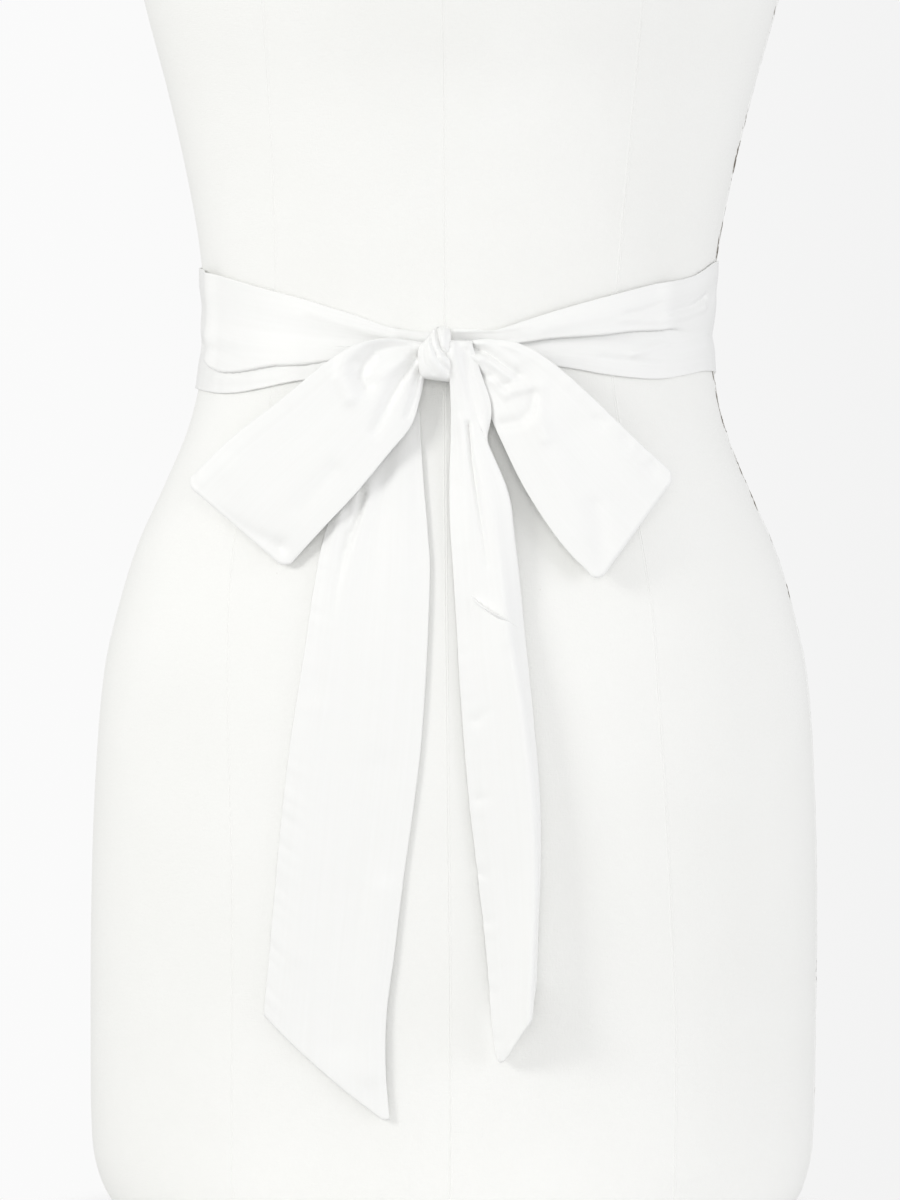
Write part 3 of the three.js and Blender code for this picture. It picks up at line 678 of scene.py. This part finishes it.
hem_left = TAIL_LEFT_SHORT_EDGE - END_SLANT * (tail_places / SASH_WIDTH) ** 0.96
hem_left += 3.0 * (np.maximum(tail_places - 56, 0) / 4) ** 2
z = tail_rows(TAIL_LEFT, hem_left, TAIL_LEFT_ROWS)
left, right, stand_left, stand_right = (curve(TAIL_LEFT, z.mean(axis=1), k) for k in (1, 2, 3, 4))
flat_angle = np.zeros((TAIL_LEFT_ROWS, TAIL_STEPS))
along, out = lay_section(flat_angle, np.minimum(right - left, SASH_WIDTH), 2, 0.4, steepest=0.7, least=0.02)
along, out = at_places(along, tail_places), at_places(out, tail_places)
left, right, stand_left, stand_right = (curve(TAIL_LEFT, z, k) for k in (1, 2, 3, 4))
across = along / along[:, -1:]
x = left + (right - left) * across
stand = stand_left + (stand_right - stand_left) * across + np.maximum(out, 0) * 0.16
tail_grid = np.stack([x, form_front(x, z) - stand, z], axis=-1)
tail_grid = press(tail_grid, TAIL_LEFT_FOLDS)
tail_grid = pucker(tail_grid, tail_places, False, 0.17, seed=11, reach=7.0)
tail_grid[..., 1] = np.minimum(tail_grid[..., 1], form_front(tail_grid[..., 0], tail_grid[..., 2]) - 1.0)
tail_left = ribbon("tail_left_ribbon", tail_grid, tail_places, seam_at_end=False, cut=(False, True))
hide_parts("tail_left")

# The right tail: the ribbon's other end comes over the front of the right loop, gathered into two
# rolls with a valley between them. Lower down it is creased along its length: the part left of the
# crease rises from the form, the part right of it falls back, and the rest is folded under.
TAIL_RIGHT = np.array([
    # height, left edge, right edge, stand of the left edge, lean, rise, first crease, fall, second crease
    (103, 26.2, 44, 2.6, 0, 44, 26, 80, 43), (121, 23.8, 44.4, 2.4, 0, 42, 27, 80, 43),
    (150, 21.3, 45.2, 2.2, 0, 36, 27.5, 80, 41.7), (187, 17, 46, 2, 0, 29, 27.5, 80, 39.2),
    (220, 12.9, 45.2, 2, 0, 25, 28, 78, 38), (255, 9.6, 41.9, 2, 0, 25, 27, 74, 37),
    (280, 7.6, 39.2, 2.1, 0, 24, 26, 64, 36), (300, 6.3, 36.9, 2.2, 0, 21, 26, 48, 36),
    (328, 4.2, 34, 3, 0.4, 15, 25, 20, 34.5),
    (350, 2.4, 31.2, 3.2, 2.0, 12, 24, 8, 34), (369, 1.9, 29.2, 3.8, 3.4, 12, 24, 4, 33),
    (391, 2.2, 24.6, 5.8, 4.0, 12, 24, 4, 32), (412, 1.6, 17.4, 11.0, 0.2, 12, 24, 4, 32),
    (427, 0.0, 12.8, 16.2, -3.0, 12, 24, 4, 32), (430.6, -0.2, 11.8, 16.6, -3.0, 12, 24, 4, 32),
], dtype=float)
TAIL_RIGHT_LONG_EDGE, TAIL_RIGHT_ROWS, TAIL_RIGHT_COLUMNS = 101.0, 300, 90
FIRST_TURN, SECOND_TURN, UNDER, ROLLED = 4.5, 3.0, 172.0, 12.5
CREASED_BELOW, GATHERED_ABOVE = 352.0, 408.0
TAIL_RIGHT_FOLDS = [
    ([(3.6, 427), (6.4, 418), (9.4, 406), (11.6, 397), (13.0, 389)], 1.3, 0.5, 1.9),
    ([(8.6, 428), (10.8, 420), (13.8, 410), (17.0, 400)], -1.3, -0.3, 1.6),
    ([(10.3, 394), (12.2, 378), (15.6, 358), (18.6, 340), (20, 330)], -2.3, -0.5, 1.3),
    ([(15.4, 392), (18.4, 372), (23, 350), (26.6, 322), (30, 296)], 0.9, 0.5, 3.6),
    ([(7.4, 396), (8.6, 379), (10.2, 362), (11.4, 340)], 0.7, 0.3, 2.6),
    ([(22, 264), (16, 259)], -0.2, -0.6, 2.6),
    ([(17, 223), (22, 224)], -0.6, -0.2, 2.4), ([(16.6, 188.8), (21.5, 186.4)], -0.8, -0.3, 2.0),
]
tail_places = across_places(TAIL_RIGHT_COLUMNS)
from_tip = tail_places - 5
hem_right = TAIL_RIGHT_LONG_EDGE + 0.465 * (from_tip + np.sqrt(from_tip**2 + 9))
hem_right += 3.0 * (1 - np.minimum(tail_places, 3) / 3) ** 2
z = tail_rows(TAIL_RIGHT, hem_right, TAIL_RIGHT_ROWS)
mean_z = z.mean(axis=1)
left, right, rise, first, fall, second = (curve(TAIL_RIGHT, mean_z, k)[:, None] for k in (1, 2, 5, 6, 7, 8))
s = ((np.arange(TAIL_STEPS) + 0.5) * SASH_WIDTH / TAIL_STEPS)[None, :]
rolled = 184 * smooth((312 - mean_z) / 30)[:, None]
creased = np.radians(
    rise - (rise + fall) * smooth((s - first) / FIRST_TURN + 0.5)
    - (UNDER - fall) * smooth((s - second) / SECOND_TURN + 0.5)
    - rolled * smooth((s - second - ROLLED) / SECOND_TURN + 0.5)
) + 0.05 * np.sin(2 * math.pi * s / 38.0 + 0.6)
step = SASH_WIDTH / TAIL_STEPS
start_edge = np.zeros((TAIL_RIGHT_ROWS, 1))
creased_along = np.concatenate([start_edge, np.cumsum(np.cos(creased) * step, axis=1)], axis=1)
creased_out = np.concatenate([start_edge, np.cumsum(np.sin(creased) * step, axis=1)], axis=1)
creased_along *= (right - left) / creased_along.max(axis=1, keepdims=True)
gathered_along, gathered_out = lay_section(np.zeros(creased.shape), (right - left)[:, 0], 2,
                                           steepest=0.45)
blend = smooth((GATHERED_ABOVE - mean_z) / (GATHERED_ABOVE - CREASED_BELOW))[:, None]
along = at_places(gathered_along + (creased_along - gathered_along) * blend, tail_places)
out = at_places(gathered_out + (creased_out - gathered_out) * blend, tail_places)
row_left = left
left, stand, lean = (curve(TAIL_RIGHT, z, k) for k in (1, 3, 4))
x = left + along
y = form_front(x, z) - np.maximum(stand + lean * along / (right - row_left) + out, 1.2)
tail_grid = np.stack([x, y, z], axis=-1)
tail_grid = press(tail_grid, TAIL_RIGHT_FOLDS)
tail_grid = pucker(tail_grid, tail_places, False, 0.15, seed=23, reach=6.0)
top_row = tail_grid[0]
roll = []
for turned_back in np.radians([84, 66, 50, 34, 20, 8]):
    bent = top_row.copy()
    bent[:, 1] += 7.5 * (1 - math.cos(turned_back)) + 1.0 * math.sin(turned_back)
    bent[:, 2] += 2.6 * math.sin(min(turned_back * 1.6, math.pi / 2)) - 2.8 * (1 - math.cos(turned_back))
    roll.append(bent)
tail_right = ribbon("tail_right_ribbon", np.concatenate([np.array(roll), tail_grid]), tail_places,
                    seam_at_end=False, cut=(False, True))
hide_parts("tail_right")

# The knot: a short stretch of the ribbon, bunched lengthwise and wrapped tightly over the crossing. A
# small roll sits at its top, and the wrap below it leans down to the left.
KNOT = np.array([
    # height, left and right side, front
    (414.2, -9.6, 1.2, -94), (414.8, -11.4, 1.8, -97), (416.2, -12.4, 2.2, -99.4),
    (419.6, -13.0, 2.5, -101), (424, -13.4, 2.6, -101.6), (427.6, -13.4, 2.5, -101.4),
    (430.4, -12.0, 2.2, -100.8), (433, -9.6, 1.9, -100),
    (436, -7.4, 1.6, -98), (438, -5.8, 0.8, -95.5), (438.8, -4.4, 0.0, -93),
], dtype=float)
KNOT_TILT = 0.12
KNOT_BACK, KNOT_RINGS, KNOT_SEGMENTS = -86.2, 110, 120
KNOT_FOLDS = [
    ([(-4.6, 438.4), (-3.9, 434), (-2.8, 429.4), (-0.6, 426.6), (2.0, 425)], -3.0, -2.0, 0.9),
    ([(-6.9, 436), (-6.6, 431), (-4.4, 425.6), (-1.4, 421.4), (1.6, 418.6)], -1.5, -0.7, 0.9),
    ([(-1.4, 436.4), (-0.2, 431)], 1.1, 0.8, 1.9),
    ([(-9.6, 428.6), (-8.8, 422.4), (-5.8, 417.4)], -0.9, -0.6, 1.0),
    ([(-8, 431), (-6.4, 424), (-2.2, 418.4)], 0.9, 0.5, 1.6),
    ([(-2.6, 424.2), (1, 421.8)], 0.8, 0.6, 1.4),
]
share = (1 - np.cos(np.linspace(0, math.pi, KNOT_RINGS))) / 2
z = KNOT[0, 0] + (KNOT[-1, 0] - KNOT[0, 0]) * share
left, right, front = (curve(KNOT, z, k)[:, None] for k in (1, 2, 3))
ring = 2 * math.pi * np.arange(KNOT_SEGMENTS)[None, :] / KNOT_SEGMENTS
c, s = np.cos(ring), np.sin(ring)
x = (left + right) / 2 - (right - left) / 2 * np.sign(c) * np.abs(c) ** 0.85
y = (front + KNOT_BACK) / 2 + (KNOT_BACK - front) / 2 * np.sign(s) * np.abs(s) ** 0.85
knot_grid = np.stack([x, y, np.broadcast_to(z[:, None], x.shape)], axis=-1)
pressed = press(knot_grid.copy(), KNOT_FOLDS)
facing = smooth(-s * 2.2)[..., None]
knot_grid = knot_grid * (1 - facing) + pressed * facing
knot_grid[..., 2] -= KNOT_TILT * (knot_grid[..., 0] + 4.6) * smooth((426 - knot_grid[..., 2]) / 10)
faces, corners = ring_faces(KNOT_RINGS, KNOT_SEGMENTS)
knot_uv = np.stack([z[corners[..., 0]], corners[..., 1] * SASH_WIDTH / KNOT_SEGMENTS], axis=-1).reshape(-1, 2)
knot_faces = faces.tolist() + end_faces(KNOT_RINGS, KNOT_SEGMENTS)
knot = mesh_piece("knot_wrap", knot_grid.reshape(-1, 3), knot_faces,
                  np.concatenate([knot_uv, np.zeros((2 * KNOT_SEGMENTS, 2))]))
outward_faces(knot)
knot.data.materials.append(satin)
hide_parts("knot")
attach(knot, "root")

# The loops: the ribbon leaves the knot in tight pleats, opens to its full width, is pressed flat where
# it turns at the far end, and comes back to the knot behind itself.
LOOP_ROWS, TURN_ROWS, BEHIND_ROWS, LOOP_COLUMNS = 120, 12, 60, 90
CORNER_RADIUS = 5.0
loop_places = across_places(LOOP_COLUMNS)
LOOP_LEFT = np.array([
    # place, upper edge (x, y, z), lower edge (x, y, z), space behind each
    (0.00, -9.6, -93.6, 430.9, -10.4, -93.4, 418.4, 3, 3),
    (0.12, -25, -97.2, 433.4, -12.4, -96.8, 405.4, 5, 4),
    (0.25, -39.8, -99.6, 431, -16.2, -99.6, 393.2, 8, 5),
    (0.4, -55.4, -100.2, 421.8, -25.6, -102, 381.2, 10, 5),
    (0.6, -76.9, -97.2, 404.2, -41, -103.2, 362.2, 9, 3.8),
    (0.8, -98.4, -92, 387.8, -56.4, -102.2, 345.6, 6, 3.2),
    (1.00, -120.2, -85, 367.2, -72.2, -99.2, 328.2, 2.8, 2.8),
], dtype=float)
LOOP_LEFT_FOLDS = [
    ([(-13, 431), (-24, 430.4), (-33, 427.4), (-38.6, 421.4), (-39.4, 415.4), (-36.6, 411)], -2.6, -3.4, 3.4),
    ([(-14, 433.4), (-26, 435), (-38, 432.4), (-46.5, 424.5), (-48.5, 415), (-44, 406)], 1.6, 1.8, 3.6),
    ([(-12.6, 429), (-21.6, 422.8), (-28.8, 417)], 2.6, 0.9, 2.8),
    ([(-12.8, 426), (-21.4, 414), (-27.4, 401.6), (-32, 391)], -3.4, -1.2, 3.0),
    ([(-12.6, 422), (-19.0, 412.2), (-23.6, 402.6)], 2.6, 0.7, 2.4),
    ([(-12.6, 418.6), (-14.6, 408), (-17.6, 398)], -2.6, -1.4, 2.0),
    ([(-38, 404), (-58, 380), (-78, 356)], 1.0, 0.3, 10.0),
    ([(-106, 351.5), (-91, 343.6), (-76.4, 337.4)], -0.9, -1.7, 3.6),
    ([(-76.4, 336.8), (-74.8, 335.4)], -0.7, -0.7, 4.2),
    ([(-52, 372), (-66, 355)], -0.9, -0.5, 4.5),
    ([(-100, 372), (-92, 358)], 0.6, 0.3, 7.0),
]
LOOP_RIGHT = np.array([
    (0.00, 2.0, -92.4, 430.9, 2.0, -91.6, 418.2, 3, 2.6),
    (0.12, 18.6, -94.8, 433.1, 12.6, -92.2, 413.8, 4.4, 2.8),
    (0.25, 33.1, -98, 431.3, 18.6, -94.2, 401.8, 8, 3.5),
    (0.4, 46.6, -99.6, 424.3, 24.8, -98.2, 388.2, 9.5, 5),
    (0.6, 65.6, -98.6, 408.3, 37, -103, 364.3, 8.5, 5.5),
    (0.8, 85.6, -96, 389.3, 53.4, -105, 340.3, 6, 4.5),
    (1.00, 104.2, -91.0, 372.3, 69.6, -104.6, 323.5, 2.8, 2.8),
], dtype=float)
LOOP_RIGHT_FOLDS = [
    ([(9, 430.8), (14.5, 429), (19.8, 426), (25.8, 421.6), (31.4, 418.4), (34.4, 416.6)], -1.7, -0.8, 1.8),
    ([(15, 431.6), (24, 427.4), (31, 422.4)], 1.5, 1.2, 2.6),
    ([(27, 431.6), (36, 424.6)], 0.9, 0.7, 3.2),
    ([(9, 427.6), (15, 423), (20.4, 415), (27.5, 407.6)], 2.4, 1.2, 2.0),
    ([(17, 425), (24, 420), (30.4, 414.6)], 1.8, 1.4, 1.9),
    ([(15, 416.8), (20.4, 416.4)], -1.0, -0.9, 1.8),
    ([(25.6, 411.6), (28.8, 412.9), (32.8, 416.8)], -1.3, -1.1, 1.9),
    ([(31, 409.6), (37.6, 411.2)], 1.5, 1.2, 2.2),
    ([(40.4, 408.4), (39.5, 401.4), (34.4, 396), (26, 394.2)], -1.6, -1.2, 2.6),
    ([(43, 411), (43.2, 398), (46, 388)], 1.3, 1.0, 3.0),
    ([(43, 394), (53.4, 368.2), (61.5, 346)], 1.8, 0.7, 8.0),
    ([(69.4, 357), (71.6, 343), (72.6, 331)], -0.9, -0.8, 4.6),
    ([(93.4, 375.2), (95, 373.4)], -0.9, -0.9, 4.2),
    ([(69.6, 397), (71.2, 395.4)], -0.8, -0.8, 2.8),
    ([(82.6, 388), (84, 386.4)], -0.8, -0.8, 2.8),
    ([(62, 392), (78, 368), (86, 352)], -0.8, -0.4, 7.0),
]


def loop_piece(name, node, table, folds, pleats, seed):
    """The front layer, the flat turn at the far end, and the layer behind, as one closed ribbon."""
    def layer(t, behind):
        read = [curve(table, t, k)[:, None] for k in range(1, 9)]
        v = (loop_places / SASH_WIDTH)[None, :]
        points = np.stack([read[k] + (read[k + 3] - read[k]) * v for k in range(3)], axis=-1)
        if behind:
            points[..., 1] += read[6] + (read[7] - read[6]) * v
        return points
    t = np.linspace(0, 1, LOOP_ROWS) ** 1.15
    front = layer(t, False)
    v = (loop_places / SASH_WIDTH)[None, :]
    gather = pleats * (1 - smooth(t / 0.42))[:, None]
    front[..., 1] -= gather * np.sin(2 * math.pi * 2.5 * v + 0.5)
    front[..., 1] += (1.1 * (1 - smooth(t / 0.2)) + 0.9)[:, None] * (2 * v - 1) ** 4
    front = press(front, folds)
    front = pucker(front, loop_places, False, 0.14, seed, reach=5.0)
    t = np.linspace(0, 1, BEHIND_ROWS) ** 1.15
    behind = layer(t, True)
    behind[..., 1] += pleats * 0.35 * (1 - smooth(t / 0.42))[:, None] * np.sin(2 * math.pi * 2.5 * v)
    radius = table[-1, 7] / 2
    onward = front[-1] - front[-4]
    onward[:, 1] = 0
    onward /= np.linalg.norm(onward, axis=1)[:, None]
    turn = []
    for angle in np.linspace(0, math.pi, TURN_ROWS + 2)[1:-1]:
        mix = (1 - math.cos(angle)) / 2
        turn.append(front[-1] * (1 - mix) + behind[-1] * mix + onward * radius * math.sin(angle))
    near_edge = 1 - np.minimum(loop_places, SASH_WIDTH - loop_places) / CORNER_RADIUS
    drawn_in = CORNER_RADIUS * (1 - np.sqrt(1 - np.clip(near_edge, 0, 0.999) ** 2))
    at_end = [smooth((np.linspace(0, 1, count) ** 1.15 - 0.86) / 0.14) for count in (LOOP_ROWS, BEHIND_ROWS)]
    at_end = np.concatenate([at_end[0], np.ones(TURN_ROWS), at_end[1][::-1]])
    grid = np.concatenate([front, np.array(turn), behind[::-1]])
    grid = grid - onward * (at_end[:, None] * drawn_in[None, :])[..., None]
    piece = ribbon(name, grid, loop_places, seam_at_end=False)
    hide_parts(node)
    return piece


loop_left = loop_piece("loop_left_ribbon", "loop_left", LOOP_LEFT, LOOP_LEFT_FOLDS, 0.9, seed=31)
loop_right = loop_piece("loop_right_ribbon", "loop_right", LOOP_RIGHT, LOOP_RIGHT_FOLDS, 0.8, seed=47)

# The studio: a pale round floor that fades into a white backdrop, an even soft light from all round, and
# three soft lamps: on the left, in front and on the right. The backdrop as the camera sees it carries painted
# light and shade, lighter on the left and darker on the right, while the light it gives the scene is even.
FLOOR_RADIUS, FLOOR_RINGS, FLOOR_SEGMENTS = 0.3, 12, 96
# Brightness of the painted light and shade on the backdrop, at its left and right, as the camera sees it.
PAINTED_BACKDROP_LEFT, PAINTED_BACKDROP_RIGHT, GRADIENT_HALF = 0.96, 0.87, 0.16
SOFT_LIGHT = 0.65
ring = 2 * math.pi * np.arange(FLOOR_SEGMENTS) / FLOOR_SEGMENTS
spokes = np.stack([np.sin(ring), -np.cos(ring), np.zeros(FLOOR_SEGMENTS)], axis=-1)
radii = FLOOR_RADIUS / MM * np.linspace(0.02, 1, FLOOR_RINGS)
floor_faces, _ = ring_faces(FLOOR_RINGS, FLOOR_SEGMENTS)
floor = mesh_piece("floor", (spokes[None] * radii[:, None, None]).reshape(-1, 3),
                   floor_faces[:, ::-1].tolist() + [list(range(FLOOR_SEGMENTS))])
floor_material, floor_tree, floor_shader = new_material("pale_floor", 0.8, Specular_IOR_Level=0.2)
floor_place = put(floor_tree, "TexCoord").outputs["Object"]
grain = put(floor_tree, "TexNoise", Vector=floor_place, Scale=55.0, Detail=5.0, Roughness=0.6)
floor_tone = two_tones(floor_tree, grain.outputs["Fac"], 0.3, (0.935, 0.935, 0.935), 0.7, (0.95, 0.95, 0.95))
floor_tree.links.new(floor_tone, floor_shader.inputs["Base Color"])
from_middle = put(floor_tree, "VectorMath", {"operation": "LENGTH"}, i0=floor_place)
fade = put(floor_tree, "MapRange", {"interpolation_type": "SMOOTHERSTEP"}, i0=from_middle.outputs["Value"],
           i1=0.14, i2=0.25, i3=1.0, i4=0.0)
floor_tree.links.new(fade.outputs[0], floor_shader.inputs["Alpha"])
floor.data.materials.append(floor_material)

world = bpy.data.worlds.new("studio")
world.use_nodes = True
bpy.context.scene.world = world
backdrop = world.node_tree.nodes["Background"]
aim = put(world.node_tree, "TexCoord").outputs["Generated"]
sideways = put(world.node_tree, "SeparateXYZ", i0=aim)
# Painted shade on the backdrop: camera rays see it lighter on the left and darker on the right; all other
# rays get the even soft light.
painted_backdrop_shade = put(world.node_tree, "MapRange", {"interpolation_type": "SMOOTHSTEP"}, i0=sideways.outputs[0],
                i1=-GRADIENT_HALF, i2=GRADIENT_HALF, i3=PAINTED_BACKDROP_LEFT, i4=PAINTED_BACKDROP_RIGHT)
seen = put(world.node_tree, "LightPath").outputs["Is Camera Ray"]
strength = put(world.node_tree, "MapRange", i0=seen, i3=SOFT_LIGHT)
world.node_tree.links.new(painted_backdrop_shade.outputs[0], strength.inputs[4])
world.node_tree.links.new(strength.outputs[0], backdrop.inputs["Strength"])
backdrop.inputs["Color"].default_value = (1.0, 1.0, 1.0, 1)

LAMP_AIM = Vector((0.0, 0.0, 0.3))
for lamp_name, lamp_place, energy, size in (
    ("left_lamp", (-1.9, -1.5, 1.2), 19.0, 0.7),
    ("front_lamp", (0.3, -3.2, 0.7), 16.5, 1.6),
    ("right_lamp", (2.3, -0.9, 0.7), 14.0, 1.4),
):
    lamp_data = bpy.data.lights.new(lamp_name, "AREA")
    lamp_data.energy, lamp_data.size = energy, size
    lamp_data.color = (0.95, 0.955, 1.0) if lamp_name == "right_lamp" else (1.0, 1.0, 0.985)
    lamp = bpy.data.objects.new(lamp_name, lamp_data)
    lamp.location = lamp_place
    lamp.rotation_euler = (LAMP_AIM - lamp.location).to_track_quat("-Z", "Y").to_euler()
    bpy.context.scene.collection.objects.link(lamp)
bpy.context.scene.view_settings.view_transform = "Standard"
